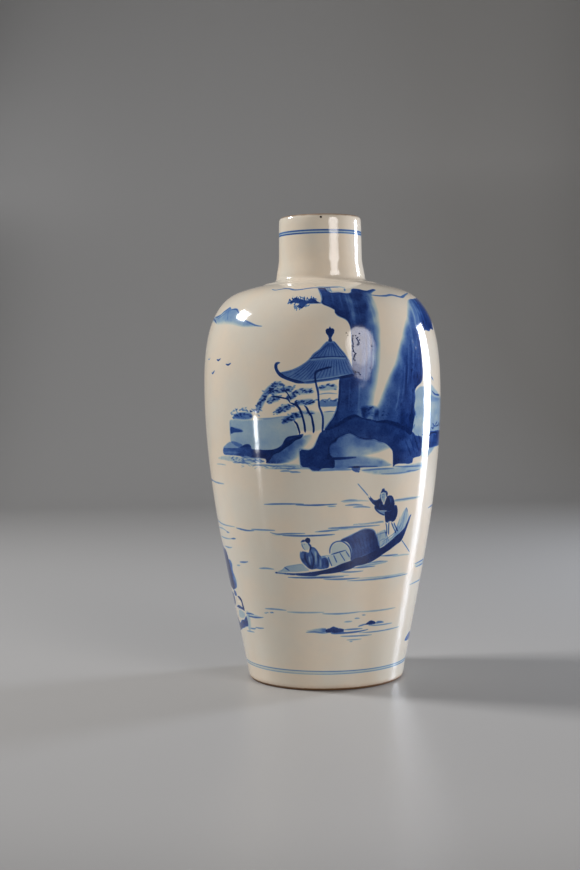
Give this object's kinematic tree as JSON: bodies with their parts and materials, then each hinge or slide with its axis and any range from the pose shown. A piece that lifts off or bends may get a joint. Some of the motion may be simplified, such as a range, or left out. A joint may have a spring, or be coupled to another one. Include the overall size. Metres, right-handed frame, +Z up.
{
  "type": "porcelain bottle",
  "caption": "High-shouldered blue and white porcelain bottle, hollow with an open mouth, short upright neck and foot ring, painted with a river landscape.",
  "frame": {"origin": "on the ground at the middle of the foot ring", "axes": "+Z up along the bottle's axis, towards the mouth; the painted front with the pavilion and the boat faces -Y"},
  "size_m": [0.1286, 0.1286, 0.25],
  "materials": {
    "glazed_porcelain": "clear glossy glaze over cobalt-blue painting on warm white porcelain; the foot ring is bare"
  },
  "bodies": {
    "root": {"porcelain_bottle": "glazed_porcelain"}
  },
  "joints": []
}
